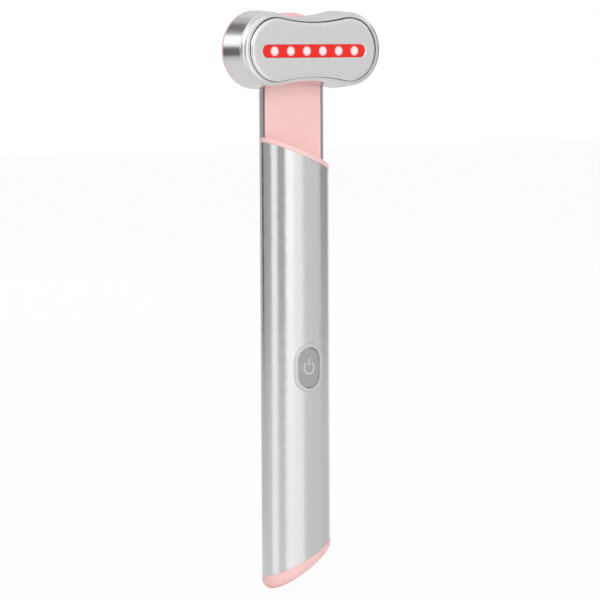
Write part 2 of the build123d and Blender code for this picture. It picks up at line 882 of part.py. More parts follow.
with BuildPart() as usb_insert:
    # Moulded floor at the closed end, with the contact tongue
    with BuildSketch(Plane.XY.offset(usb_mouth + usb_length - usb_wall)):
        SlotOverall(usb_width - 2 * usb_wall - touch, usb_height - 2 * usb_wall - touch)
    extrude(amount=-usb_insert_floor)
    with BuildSketch(Plane.XY.offset(usb_mouth + usb_length - usb_wall)):
        Rectangle(usb_tongue_width, usb_tongue_thickness)
    extrude(amount=-(usb_length - usb_wall - usb_tongue_recess))
usb_insert.part.label = "usb_insert"
export_step(usb_insert.part, "parts/usb_insert.step")

# ---------------------------------------------------------------- swivel
with BuildPart() as swivel_bush:
    with BuildSketch(front_plane(panel_front, swivel_height)):
        Circle(bush_radius)
    extrude(amount=boss_back - panel_front)
    with BuildSketch(front_plane(boss_back, swivel_height)):
        Circle(boss_radius)
    extrude(amount=-bush_flange_thickness)
    with BuildSketch(front_plane(panel_front, swivel_height)):
        Circle(shaft_radius + turning_fit)
    extrude(amount=-grip_depth, mode=Mode.SUBTRACT)
swivel_bush.part.label = "swivel_bush"
export_step(swivel_bush.part, "parts/swivel_bush.step")

with BuildPart() as swivel_shaft:
    with BuildSketch(front_plane(shaft_back, swivel_height)):
        Circle(shaft_radius)
    extrude(amount=flange_front - shaft_back)
    with BuildSketch(front_plane(hub_front, swivel_height)):
        Circle(shaft_flange_radius)
    extrude(amount=shaft_flange_thickness)
    # Groove of the retaining ring
    with BuildSketch(front_plane(ring_back, swivel_height)):
        Circle(shaft_radius + ring_depth)
        Circle(shaft_radius - ring_depth, mode=Mode.SUBTRACT)
    extrude(amount=ring_thickness, mode=Mode.SUBTRACT)
    with BuildSketch(front_plane(flange_front, swivel_height)):
        Circle(shaft_bore / 2)
        with PolarLocations(flange_screw_radius, flange_screw_count, start_angle=90):
            Circle(screw_diameter / 2 + turning_fit)
    extrude(amount=-shaft_flange_thickness, mode=Mode.SUBTRACT)
    with BuildSketch(front_plane(flange_front, swivel_height)):
        Circle(shaft_bore / 2)
    extrude(amount=-grip_depth, mode=Mode.SUBTRACT)
swivel_shaft.part.label = "swivel_shaft"
export_step(swivel_shaft.part, "parts/swivel_shaft.step")

with BuildPart() as wave_washer:
    with BuildSketch(front_plane(ring_front, swivel_height)):
        Circle(washer_outer)
        Circle(shaft_radius + turning_fit, mode=Mode.SUBTRACT)
    extrude(amount=washer_room)
    # Bent about the handle's axis: the part of the flat ring between two round walls
    with BuildSketch(Plane.XY.offset(swivel_height - washer_outer)):
        with Locations((0, -(bush_back - turning_fit - washer_bend))):
            Circle(washer_bend)
            Circle(washer_bend - washer_thickness, mode=Mode.SUBTRACT)
    extrude(amount=2 * washer_outer, mode=Mode.INTERSECT)
wave_washer.part.label = "wave_washer"
export_step(wave_washer.part, "parts/wave_washer.step")

with BuildPart() as retaining_ring:
    with BuildSketch(front_plane(ring_back + touch, swivel_height)):
        Circle(shaft_radius + ring_overhang)
        Circle(shaft_radius - ring_depth + touch, mode=Mode.SUBTRACT)
        with Locations((0, -shaft_radius)):
            Rectangle(ring_opening, 2 * shaft_radius, mode=Mode.SUBTRACT)
    extrude(amount=ring_thickness - 2 * touch)
retaining_ring.part.label = "retaining_ring"
export_step(retaining_ring.part, "parts/retaining_ring.step")

with BuildPart() as flange_screws:
    with Locations(front_plane(flange_front, swivel_height)):
        with PolarLocations(flange_screw_radius, flange_screw_count, start_angle=90):
            Screw(flange_screw_length)
flange_screws.part.label = "flange_screws"
export_step(flange_screws.part, "parts/flange_screws.step")

# ---------------------------------------------------------------- head
with BuildPart() as head_rear_cover:
    with BuildSketch(front_plane(head_rear, swivel_height)):
        Peanut(lobe_radius, lobe_offset, waist_half)
    extrude(amount=cover_thickness)
    fillet(head_rear_cover.faces().sort_by(Axis.Y)[-1].edges(), cover_edge_round)
    # Lip that locates the shell
    with BuildSketch(front_plane(shell_rear, swivel_height)):
        Peanut(lobe_radius - head_wall - slide_fit, lobe_offset, waist_half - head_wall - slide_fit)
    extrude(amount=cover_lip_height, taper=head_draft)
    with BuildSketch(front_plane(shell_rear, swivel_height)):
        Peanut(
            lobe_radius - head_wall - slide_fit - cover_lip_wall,
            lobe_offset,
            waist_half - head_wall - slide_fit - cover_lip_wall,
        )
    extrude(amount=cover_lip_height, mode=Mode.SUBTRACT)
    # Hub of the swivel shaft
    with BuildSketch(front_plane(shell_rear, swivel_height)):
        Circle(hub_radius)
    extrude(amount=hub_height)
    # Cradles of the vibration motor
    for end in (motor_end + cradle_inset, motor_far_end - cradle_inset):
        with BuildSketch(front_plane(shell_rear, motor_height, -end)):
            Rectangle(cradle_thickness, 2 * (motor_diameter / 2 + sleeve_wall + cradle_wall))
        extrude(amount=motor_front - shell_rear)
    with BuildSketch(motor_plane(motor_end)):
        Circle(motor_diameter / 2 + sleeve_wall + touch)
    extrude(amount=motor_length, mode=Mode.SUBTRACT)
    # Bore for the shaft and pilot holes for its flange screws
    with BuildSketch(front_plane(hub_front, swivel_height)):
        Circle(shaft_radius + touch)
    extrude(amount=-grip_depth, mode=Mode.SUBTRACT)
    with BuildSketch(front_plane(hub_front, swivel_height)):
        with PolarLocations(flange_screw_radius, flange_screw_count, start_angle=90):
            Circle(screw_diameter / 2 + touch)
    extrude(amount=-(flange_screw_length - shaft_flange_thickness + touch), mode=Mode.SUBTRACT)
head_rear_cover.part.label = "head_rear_cover"
export_step(head_rear_cover.part, "parts/head_rear_cover.step")

with BuildPart() as head_shell:
    with BuildSketch(front_plane(shell_rear + seam, swivel_height)):
        Peanut(lobe_radius, lobe_offset, waist_half)
    extrude(amount=head_front - shell_rear - seam, taper=head_draft)
    fillet(head_shell.faces().sort_by(Axis.Y)[0].edges(), head_edge_round)
    with BuildSketch(front_plane(shell_rear, swivel_height)):
        Peanut(lobe_radius - head_wall, lobe_offset, waist_half - head_wall)
    extrude(amount=ledge_back - shell_rear, taper=head_draft, mode=Mode.SUBTRACT)
    with BuildSketch(front_plane(shell_rear, swivel_height)):
        Peanut(plate_lobe_radius - ledge_width, plate_lobe_offset, plate_waist_half - ledge_width)
    extrude(amount=head_depth, mode=Mode.SUBTRACT)
    with BuildSketch(front_plane(seal_back, swivel_height)):
        Peanut(plate_lobe_radius + slide_fit, plate_lobe_offset, plate_waist_half + slide_fit)
    extrude(amount=head_depth, mode=Mode.SUBTRACT)
    # Posts that the light board is screwed to
    for side in (-1, 1):
        with BuildSketch(front_plane(led_board_front, swivel_height, side * led_post_spacing / 2)):
            Circle(led_post_diameter / 2)
        extrude(amount=ledge_back - led_board_front + touch)
        with BuildSketch(front_plane(led_board_front, swivel_height, side * led_post_spacing / 2)):
            Circle(screw_diameter / 2 + touch)
        extrude(amount=led_screw_length - led_board_thickness + touch, mode=Mode.SUBTRACT)
head_shell.part.label = "head_shell"
export_step(head_shell.part, "parts/head_shell.step")

with BuildPart() as plate_seal:
    with BuildSketch(front_plane(seal_back, swivel_height)):
        Peanut(plate_lobe_radius, plate_lobe_offset, plate_waist_half)
        Peanut(
            plate_lobe_radius - ledge_width,
            plate_lobe_offset,
            plate_waist_half - ledge_width,
            mode=Mode.SUBTRACT,
        )
    extrude(amount=seal_thickness)
plate_seal.part.label = "plate_seal"
export_step(plate_seal.part, "parts/plate_seal.step")

with BuildPart() as massage_plate:
    with BuildSketch(front_plane(plate_back, swivel_height)):
        Peanut(plate_lobe_radius, plate_lobe_offset, plate_waist_half)
    extrude(amount=plate_thickness)
    fillet(massage_plate.faces().sort_by(Axis.Y)[0].edges(), plate_edge_round)
    with BuildSketch(front_plane(plate_back, window_height)):
        SlotOverall(window_length, window_width)
    extrude(amount=plate_thickness, mode=Mode.SUBTRACT)
    chamfer(massage_plate.edges(Select.LAST).group_by(Axis.Y)[0], window_bevel)
massage_plate.part.label = "massage_plate"
export_step(massage_plate.part, "parts/massage_plate.step")

with BuildPart() as heater_film:
    with BuildSketch(front_plane(heater_back, swivel_height)):
        Peanut(
            plate_lobe_radius - ledge_width - heater_margin,
            plate_lobe_offset,
            plate_waist_half - ledge_width - heater_margin,
        )
        with Locations((0, -window_drop)):
            SlotOverall(window_length, window_width, mode=Mode.SUBTRACT)
    extrude(amount=heater_thickness)
    # Tail that runs back to the light board
    with BuildSketch(front_plane(heater_back, window_height - heater_tail_drop, heater_tail_side)):
        Rectangle(heater_tail_width, heater_thickness)
    extrude(amount=led_board_front - heater_back)
heater_film.part.label = "heater_film"
export_step(heater_film.part, "parts/heater_film.step")

with BuildPart() as temperature_sensor:
    with BuildSketch(front_plane(heater_back, window_height - sensor_drop, sensor_side)):
        Rectangle(sensor_length, sensor_width)
    extrude(amount=-sensor_height)
temperature_sensor.part.label = "temperature_sensor"
export_step(temperature_sensor.part, "parts/temperature_sensor.step")

with BuildPart() as led_window:
    with BuildSketch(front_plane(heater_back, window_height)):
        SlotOverall(window_length - 2 * seam, window_width - 2 * seam)
    extrude(amount=window_front - heater_back)
    with BuildSketch(front_plane(heater_back, window_height)):
        SlotOverall(window_length + 2 * window_flange, 2 * window_half)
    extrude(amount=-window_flange_thickness)
led_window.part.label = "led_window"
export_step(led_window.part, "parts/led_window.step")

with BuildPart() as leds:
    with Locations(front_plane(led_board_front, window_height)):
        with GridLocations(led_pitch, led_pitch, led_count, 1):
            Box(led_length, led_width, led_base, align=(Align.CENTER, Align.CENTER, Align.MIN))
            Cylinder(led_dome, led_height, align=(Align.CENTER, Align.CENTER, Align.MIN))
leds.part.label = "leds"
export_step(leds.part, "parts/leds.step")

with BuildPart() as led_board:
    with BuildSketch(front_plane(led_board_back, swivel_height)):
        SlotOverall(led_post_spacing + led_post_diameter, led_board_width)
        with GridLocations(led_post_spacing, 1, 2, 1):
            Circle(screw_diameter / 2 + turning_fit, mode=Mode.SUBTRACT)
    extrude(amount=led_board_thickness)
led_board.part.label = "led_board"
export_step(led_board.part, "parts/led_board.step")

with BuildPart() as led_board_screws:
    for side in (-1, 1):
        with Locations(rear_plane(led_board_back, swivel_height, side * led_post_spacing / 2)):
            Screw(led_screw_length)
led_board_screws.part.label = "led_board_screws"
export_step(led_board_screws.part, "parts/led_board_screws.step")

with BuildPart() as head_socket:
    with BuildSketch(front_plane(led_board_back, swivel_height)):
        Rectangle(socket_length, socket_width)
    extrude(amount=-socket_height)
head_socket.part.label = "head_socket"
export_step(head_socket.part, "parts/head_socket.step")

# ---------------------------------------------------------------- vibration motor
with BuildPart() as motor_body:
    with BuildSketch(motor_plane(motor_end)):
        Circle(motor_diameter / 2)
    extrude(amount=motor_length)
    fillet(motor_body.edges().filter_by(GeomType.CIRCLE), motor_edge_round)
    with BuildSketch(motor_plane(motor_far_end)):
        Circle(motor_shaft_diameter / 2 + turning_fit)
    extrude(amount=-motor_bearing, mode=Mode.SUBTRACT)
motor_body.part.label = "motor_body"
export_step(motor_body.part, "parts/motor_body.step")

with BuildPart() as motor_sleeve:
    with BuildSketch(motor_plane(motor_end + (motor_length - sleeve_length) / 2)):
        Circle(motor_diameter / 2 + sleeve_wall)
        Circle(motor_diameter / 2 + touch, mode=Mode.SUBTRACT)
    extrude(amount=sleeve_length)
motor_sleeve.part.label = "motor_sleeve"
export_step(motor_sleeve.part, "parts/motor_sleeve.step")

with BuildPart() as motor_shaft:
    with BuildSketch(motor_plane(motor_far_end + motor_shaft_length)):
        Circle(motor_shaft_diameter / 2)
    extrude(amount=-(motor_shaft_length + motor_bearing - slide_fit))
motor_shaft.part.label = "motor_shaft"
export_step(motor_shaft.part, "parts/motor_shaft.step")

with BuildPart() as motor_weight:
    with BuildSketch(motor_plane(motor_far_end + weight_gap)):
        Circle(weight_radius)
        with Locations((weight_radius / 2 + weight_hub, 0)):
            Rectangle(weight_radius, 2 * weight_radius, mode=Mode.SUBTRACT)
        Circle(weight_hub)
        Circle(motor_shaft_diameter / 2 + touch, mode=Mode.SUBTRACT)
    extrude(amount=weight_length)
motor_weight.part.label = "motor_weight"
export_step(motor_weight.part, "parts/motor_weight.step")

# ---------------------------------------------------------------- wires
class Wire(BasePartObject):
    """A round wire through points given as distance to the side, to the front and up."""

    def __init__(self, thickness, bend, points, mode=Mode.ADD):
        places = [(side, -front, height) for side, front, height in points]
        with BuildPart() as wire:
            with BuildLine() as path:
                FilletPolyline(*places, radius=bend)
            with BuildSketch(Plane(places[0], z_dir=path.line % 0)):
                Circle(thickness / 2)
            sweep(path=path.line)
        super().__init__(part=wire.part, mode=mode)


with BuildPart() as head_loom:
    Wire(
        wire_diameter,
        wire_bend,
        [
            (0, loom_start, swivel_height),
            (0, loom_back, swivel_height),
            (0, loom_back, tube_top - loom_turn),
            (-wire_side, wire_front, tube_top - loom_turn - loom_slope),
            (-wire_side, wire_front, wire_turn),
            (-wire_side, loom_end_front, wire_turn - wire_drop),
            (-wire_side, loom_end_front, loom_end),
        ],
    )
head_loom.part.label = "head_loom"
export_step(head_loom.part, "parts/head_loom.step")

with BuildPart() as battery_lead:
    Wire(
        wire_diameter,
        wire_bend / 2,
        [
            (lead_start, 0, battery_high + tab_thickness),
            (lead_start, 0, battery_high + tab_thickness + lead_rise),
            (wire_side, wire_front, battery_high + tab_thickness + lead_rise),
            (wire_side, wire_front, wire_turn),
            (wire_side, board_front + wire_radius, wire_turn - wire_drop),
            (wire_side, board_front + wire_radius, board_high - lead_lap),
        ],
    )
battery_lead.part.label = "battery_lead"
export_step(battery_lead.part, "parts/battery_lead.step")

with BuildPart() as motor_leads:
    for side in (-1, 1):
        lead_height = motor_height + side * motor_lead_spacing / 2
        Wire(
            motor_lead_diameter,
            motor_lead_bend,
            [
                (-motor_end, motor_front, lead_height),
                (-motor_end + motor_lead_out, motor_front, lead_height),
                (-motor_end + motor_lead_out, led_board_back, lead_height),
            ],
        )
motor_leads.part.label = "motor_leads"
export_step(motor_leads.part, "parts/motor_leads.step")

with BuildPart() as charge_ribbon:
    with BuildSketch(Plane.YZ):
        with BuildLine():
            FilletPolyline(
                (-ribbon_front, charge_board_high - ribbon_lap_low),
                (-ribbon_front, charge_board_high + ribbon_overrun_low),
                (ribbon_thickness / 2, board_low - ribbon_overrun_high),
                (ribbon_thickness / 2, board_low + ribbon_lap_high),
                radius=ribbon_bend,
            )
        trace(line_width=ribbon_thickness)
    extrude(amount=ribbon_width / 2, both=True)
charge_ribbon.part.label = "charge_ribbon"
export_step(charge_ribbon.part, "parts/charge_ribbon.step")
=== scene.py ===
from math import atan2, cos, pi, radians, sin

import bmesh
import bpy
from mathutils import Euler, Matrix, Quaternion, Vector


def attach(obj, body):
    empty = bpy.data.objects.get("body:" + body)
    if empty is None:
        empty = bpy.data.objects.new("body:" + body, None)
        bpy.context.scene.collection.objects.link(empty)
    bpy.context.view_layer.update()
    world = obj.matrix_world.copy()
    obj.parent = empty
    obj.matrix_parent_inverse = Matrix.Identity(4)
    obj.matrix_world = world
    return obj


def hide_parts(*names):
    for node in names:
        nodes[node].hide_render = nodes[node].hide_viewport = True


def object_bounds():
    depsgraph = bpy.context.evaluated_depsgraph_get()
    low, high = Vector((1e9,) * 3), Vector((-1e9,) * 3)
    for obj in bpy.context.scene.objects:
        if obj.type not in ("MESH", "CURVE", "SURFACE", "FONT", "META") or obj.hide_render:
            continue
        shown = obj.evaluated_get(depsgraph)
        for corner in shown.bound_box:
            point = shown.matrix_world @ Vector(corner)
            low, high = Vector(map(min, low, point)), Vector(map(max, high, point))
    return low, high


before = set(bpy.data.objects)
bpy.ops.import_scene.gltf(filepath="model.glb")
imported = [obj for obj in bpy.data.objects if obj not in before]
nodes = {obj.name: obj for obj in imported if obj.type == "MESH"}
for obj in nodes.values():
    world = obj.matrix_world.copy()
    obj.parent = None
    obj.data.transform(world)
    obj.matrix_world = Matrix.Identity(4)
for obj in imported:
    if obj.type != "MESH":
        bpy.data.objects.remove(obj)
cad_low, cad_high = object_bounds()
scene = bpy.context.scene
scene.view_settings.view_transform = "Standard"

mm = 0.001

# ---------------------------------------------------------------- sizes of the head
head_height = 90.4 * mm
window_length = 36.0 * mm
window_width = 3.5 * mm
window_drop = 0.45 * mm
window_bevel = 0.32 * mm
led_pitch = 5.65 * mm
spot_radius = 1.26 * mm
spot_edge = 0.35 * mm
plate_radius = 9.27 * mm
plate_offset = 12.95 * mm
plate_waist = 7.95 * mm
plate_back = 9.55 * mm
plate_front = 10.90 * mm
plate_round = 0.85 * mm
plate_round_width = 1.15 * mm
# The plate lies low and to the left in its opening, so its gap shows above and to the right
plate_gap = 0.15 * mm
plate_left = 0.06 * mm
plate_drop = 0.10 * mm


# ---------------------------------------------------------------- material helpers
def add_node(tree, kind, **settings):
    """A shader node with its properties, or else its sockets' values, set by name."""
    made = tree.nodes.new(kind)
    for key, value in settings.items():
        if hasattr(made, key):
            setattr(made, key, value)
        else:
            made.inputs[key].default_value = value
    return made


def combine(tree, operation, first, second=None):
    """The output of one Math node on sockets or numbers."""
    made = add_node(tree, "ShaderNodeMath", operation=operation)
    for socket, value in zip(made.inputs, (first, second)):
        if isinstance(value, (int, float)):
            socket.default_value = value
        elif value is not None:
            tree.links.new(value, socket)
    return made.outputs[0]


class Finish:
    """A node material round one Principled shader, with helpers for grain, colour and bump."""

    # Noise stays mostly between these two values
    noise_low = 0.3
    noise_high = 0.7

    def __init__(self, name, colour, roughness, metallic=0.0):
        self.material = bpy.data.materials.new(name)
        self.material.use_nodes = True
        self.tree = self.material.node_tree
        self.shader = self.tree.nodes["Principled BSDF"]
        self.colour = (*colour, 1.0)
        self.set("Base Color", self.colour)
        self.set("Roughness", roughness)
        self.set("Metallic", metallic)
        self.place = self.node("ShaderNodeTexCoord").outputs["Object"]

    def set(self, socket, value):
        self.shader.inputs[socket].default_value = value

    def node(self, kind, **settings):
        return add_node(self.tree, kind, **settings)

    def link(self, source, target):
        self.tree.links.new(source, target)

    def grain(self, size, stretch=(1.0, 1.0, 1.0), detail=3.0, rough=0.5):
        """Noise with features of the given size in metres, drawn out by stretch along each axis."""
        mapping = self.node("ShaderNodeMapping", Scale=[1 / (size * s) for s in stretch])
        self.link(self.place, mapping.inputs["Vector"])
        noise = self.node("ShaderNodeTexNoise", Scale=1.0, Detail=detail, Roughness=rough)
        self.link(mapping.outputs["Vector"], noise.inputs["Vector"])
        return noise.outputs["Fac"]

    def vary_roughness(self, source, low, high):
        """The roughness from low to high, over the noise's middle range."""
        ranges = {
            "From Min": self.noise_low,
            "From Max": self.noise_high,
            "To Min": low,
            "To Max": high,
        }
        spread = self.node("ShaderNodeMapRange", **ranges)
        self.link(source, spread.inputs["Value"])
        self.link(spread.outputs["Result"], self.shader.inputs["Roughness"])

    def vary_colour(self, source, low, high):
        """The base colour, darker and lighter by the given factors."""
        ramp = self.node("ShaderNodeValToRGB")
        ends = (self.noise_low, low), (self.noise_high, high)
        for element, (at, factor) in zip(ramp.color_ramp.elements, ends):
            element.position = at
            element.color = (*[min(1.0, c * factor) for c in self.colour[:3]], 1.0)
        self.link(source, ramp.inputs["Fac"])
        self.link(ramp.outputs["Color"], self.shader.inputs["Base Color"])

    def blend_colour(self, share, colour):
        """Another base colour where the share is 1, over whatever feeds the colour now."""
        mix = self.node("ShaderNodeMix", data_type="RGBA")
        self.link(share, mix.inputs["Factor"])
        feed = self.shader.inputs["Base Color"].links
        if feed:
            self.link(feed[0].from_socket, mix.inputs["A"])
        else:
            mix.inputs["A"].default_value = self.colour
        mix.inputs["B"].default_value = (*colour, 1.0)
        self.link(mix.outputs["Result"], self.shader.inputs["Base Color"])

    def bump(self, source, height, strength):
        bump = self.node("ShaderNodeBump", Strength=strength, Distance=height)
        self.link(source, bump.inputs["Height"])
        self.link(bump.outputs["Normal"], self.shader.inputs["Normal"])

    def axes(self, vector):
        """The X, Y and Z outputs of a vector."""
        made = self.node("ShaderNodeSeparateXYZ")
        self.link(vector, made.inputs[0])
        return made.outputs

    def facing(self):
        """The X, Y and Z outputs of the direction that the surface faces."""
        return self.axes(self.node("ShaderNodeNewGeometry").outputs["True Normal"])


def linear(red, green, blue):
    """A colour given in 0 to 255 steps of sRGB, as linear values."""
    return tuple(
        c / 12.92 if c <= 0.04045 else ((c + 0.055) / 1.055) ** 2.4
        for c in (red / 255, green / 255, blue / 255)
    )


def plain(name, colour, roughness, metallic=0.0):
    """A finish for a piece inside the wand: fine grain in its roughness and its colour."""
    made = Finish(name, colour, roughness, metallic)
    grain = made.grain(0.4 * mm)
    made.vary_roughness(grain, roughness * 0.85, min(1.0, roughness * 1.2))
    made.vary_colour(grain, 0.94, 1.06)
    return made


# ---------------------------------------------------------------- materials
aluminium = Finish("anodised_aluminium", (0.80, 0.80, 0.805), 0.27, 1.0)
streaks = aluminium.grain(0.2 * mm, (1, 1, 40))
aluminium.vary_roughness(streaks, 0.195, 0.210)
aluminium.vary_colour(streaks, 0.99, 1.01)
aluminium.bump(aluminium.grain(0.06 * mm, detail=2.0), 0.0005 * mm, 0.15)
# The cut edge of the neck faces the front behind the handle's axis, and is painted darker there:
# painted shade where the pink panel shades it
shaded_edge_facing = -0.95
shaded_edge_from = 0.5 * mm
front_facing = combine(aluminium.tree, "LESS_THAN", aluminium.facing()["Y"], shaded_edge_facing)
back_half = combine(aluminium.tree, "GREATER_THAN", aluminium.axes(aluminium.place)["Y"], shaded_edge_from)
painted_edge_shade = combine(aluminium.tree, "MULTIPLY", front_facing, back_half)
aluminium.blend_colour(painted_edge_shade, (0.42, 0.43, 0.42))

polished = Finish("polished_metal", (0.82, 0.82, 0.83), 0.2, 1.0)
polished.vary_roughness(polished.grain(0.6 * mm, detail=5.0), 0.18, 0.23)
polished.bump(polished.grain(0.08 * mm, detail=2.0), 0.0008 * mm, 0.2)

satin = Finish("satin_plate", (0.88, 0.88, 0.885), 0.36, 1.0)
blast = satin.grain(0.22 * mm, (1.6, 1.0, 1.0), 5.0, 0.65)
satin.vary_roughness(blast, 0.32, 0.44)
satin.vary_colour(blast, 0.93, 1.04)
satin.bump(blast, 0.010 * mm, 0.5)

chamfer = Finish("cut_chamfer", (0.90, 0.90, 0.90), 0.24, 1.0)
chamfer.vary_roughness(chamfer.grain(0.3 * mm), 0.21, 0.28)

pink = Finish("pink_plastic", linear(244, 200, 197), 0.38)
moulding = pink.grain(0.4 * mm, detail=4.0)
pink.vary_roughness(moulding, 0.34, 0.42)
pink.vary_colour(pink.grain(4.0 * mm), 0.985, 1.01)
pink.bump(moulding, 0.004 * mm, 0.3)

rim_metal = Finish("button_rim_metal", (0.60, 0.60, 0.605), 0.36, 0.35)
rim_grain = rim_metal.grain(0.2 * mm)
rim_metal.vary_roughness(rim_grain, 0.33, 0.40)
rim_metal.bump(rim_grain, 0.003 * mm, 0.4)
# The wall of the ring's opening, which doesn't face the front, is painted paler as a painted
# highlight
highlight_wall_facing = -0.3
painted_wall_highlight = combine(rim_metal.tree, "GREATER_THAN", rim_metal.facing()["Y"], highlight_wall_facing)
rim_metal.blend_colour(painted_wall_highlight, (0.92, 0.92, 0.92))

grey = Finish("grey_plastic", linear(158, 158, 159), 0.42)
grey_grain = grey.grain(0.25 * mm, detail=4.0)
grey.vary_roughness(grey_grain, 0.38, 0.47)
grey.vary_colour(grey_grain, 0.97, 1.03)
grey.bump(grey_grain, 0.005 * mm, 0.4)

light_grey = Finish("light_grey_plastic", linear(198, 198, 200), 0.4)
light_grey.vary_roughness(light_grey.grain(0.25 * mm), 0.36, 0.45)

# The red window glows, with a white spot in front of each light behind it
red = Finish("red_window", (0.40, 0.010, 0.008), 0.2)
red.set("Specular IOR Level", 0.2)
red.set("Emission Strength", 1.0)
red.vary_roughness(red.grain(0.8 * mm), 0.12, 0.2)
spot_place = red.axes(red.place)
along = combine(red.tree, "FRACT", combine(red.tree, "DIVIDE", spot_place["X"], led_pitch))
from_led = combine(red.tree, "MULTIPLY", combine(red.tree, "SUBTRACT", along, 0.5), led_pitch)
up = combine(red.tree, "SUBTRACT", spot_place["Z"], head_height - window_drop)
squared = combine(
    red.tree,
    "ADD",
    combine(red.tree, "MULTIPLY", from_led, from_led),
    combine(red.tree, "MULTIPLY", up, up),
)
spot_ends = {"From Min": spot_radius + spot_edge, "From Max": spot_radius - spot_edge}
spot = red.node("ShaderNodeMapRange", interpolation_type="SMOOTHSTEP", **spot_ends)
red.link(combine(red.tree, "SQRT", squared), spot.inputs["Value"])
glow = red.node("ShaderNodeMix", data_type="RGBA")
glow.inputs["A"].default_value = (0.44, 0.014, 0.010, 1.0)
glow.inputs["B"].default_value = (0.86, 0.84, 0.83, 1.0)
red.link(spot.outputs["Result"], glow.inputs["Factor"])
red.link(glow.outputs["Result"], red.shader.inputs["Emission Color"])

led = Finish("led_body", (0.9, 0.9, 0.88), 0.3)
led.set("Emission Color", (1.0, 0.9, 0.88, 1.0))
led.set("Emission Strength", 1.0)
led.vary_roughness(led.grain(0.3 * mm), 0.25, 0.35)

finishes = {
    "anodised_aluminium": aluminium,
    "polished_metal": polished,
    "satin_plate": satin,
    "pink_plastic": pink,
    "button_rim_metal": rim_metal,
    "grey_plastic": grey,
    "light_grey_plastic": light_grey,
    "red_window": red,
    "led_body": led,
    "circuit_board": plain("circuit_board", linear(22, 84, 52), 0.4),
    "black_plastic": plain("black_plastic", linear(34, 34, 36), 0.45),
    "dark_component": plain("dark_component", linear(46, 46, 50), 0.4),
    "white_plastic": plain("white_plastic", linear(232, 230, 222), 0.45),
    "foam_rubber": plain("foam_rubber", linear(60, 60, 64), 0.9),
    "steel": plain("steel", (0.56, 0.56, 0.57), 0.3, 1.0),
    "spring_steel": plain("spring_steel", (0.5, 0.5, 0.52), 0.32, 1.0),
    "nickel": plain("nickel", (0.68, 0.66, 0.62), 0.25, 1.0),
    "battery_can": plain("battery_can", linear(70, 110, 160), 0.35),
    "motor_can": plain("motor_can", (0.62, 0.62, 0.63), 0.28, 1.0),
    "tungsten_weight": plain("tungsten_weight", (0.4, 0.4, 0.42), 0.35, 1.0),
    "amber_film": plain("amber_film", linear(196, 122, 44), 0.35),
    "wire_red": plain("wire_red", linear(180, 30, 28), 0.45),
    "wire_grey": plain("wire_grey", linear(120, 120, 124), 0.45),
}
for node in nodes.values():
    slot = node.material_slots[0].material.name.split(".")[0]
    node.data.materials.clear()
    node.data.materials.append(finishes[slot].material)

# ---------------------------------------------------------------- camera
view_azimuth = radians(-34.9)
view_distance = 0.800
view_height = 0.090
view_pitch = radians(5.225)
view_turn = radians(-0.104)
view_roll = radians(-0.315)
camera_data = bpy.data.cameras.new("camera")
camera_data.lens = 163.45
camera = bpy.data.objects.new("camera", camera_data)
camera.location = (
    view_distance * sin(view_azimuth),
    -view_distance * cos(view_azimuth),
    view_height,
)
facing = Euler((pi / 2 - view_pitch, 0, view_azimuth + view_turn)).to_quaternion()
camera.rotation_mode = "QUATERNION"
camera.rotation_quaternion = facing @ Quaternion((0, 0, 1), view_roll)
scene.collection.objects.link(camera)
scene.camera = camera

# ---------------------------------------------------------------- studio
# A soft fill lights the wand, and the camera and the reflections see white
world = bpy.data.worlds.new("studio")
scene.world = world
world.use_nodes = True
sky = world.node_tree
sky.nodes.clear()
rays = add_node(sky, "ShaderNodeLightPath").outputs
seen = combine(sky, "MAXIMUM", rays["Is Camera Ray"], rays["Is Glossy Ray"])
fill = add_node(sky, "ShaderNodeBackground", Color=(1, 1, 1, 1), Strength=0.6)
white = add_node(sky, "ShaderNodeBackground", Color=(1, 1, 1, 1), Strength=1.0)
sky_mix = add_node(sky, "ShaderNodeMixShader")
sky_out = add_node(sky, "ShaderNodeOutputWorld")
sky.links.new(
    combine(sky, "MAXIMUM", seen, rays["Is Transmission Ray"]), sky_mix.inputs["Fac"]
)
sky.links.new(fill.outputs[0], sky_mix.inputs[1])
sky.links.new(white.outputs[0], sky_mix.inputs[2])
sky.links.new(sky_mix.outputs[0], sky_out.inputs["Surface"])


def towards(azimuth, elevation):
    """The direction at these angles in degrees, where azimuth 0 is the front."""
    a, e = radians(azimuth), radians(elevation)
    return Vector((sin(a) * cos(e), -cos(a) * cos(e), sin(e)))


lamp_aim = Vector((0, 0, 20 * mm))


def lamp(name, azimuth, elevation, distance, size, power, reflected):
    """A soft square lamp that looks at the middle of the wand."""
    data = bpy.data.lights.new(name, "AREA")
    data.shape = "SQUARE"
    data.size = size
    data.energy = power
    made = bpy.data.objects.new(name, data)
    away = towards(azimuth, elevation)
    made.location = lamp_aim + away * distance
    made.rotation_mode = "QUATERNION"
    made.rotation_quaternion = away.to_track_quat("Z", "Y")
    made.visible_camera = False
    made.visible_glossy = reflected
    scene.collection.objects.link(made)


lamp("key", -8, 16, 1.2, 0.7, 5.2, False)
lamp("side", -66, 32, 1.3, 0.6, 2.4, True)
lamp("back", 165, 25, 1.3, 0.7, 3.0, False)

card_centre = Vector((0, 0, 50 * mm))
card_steps = 16


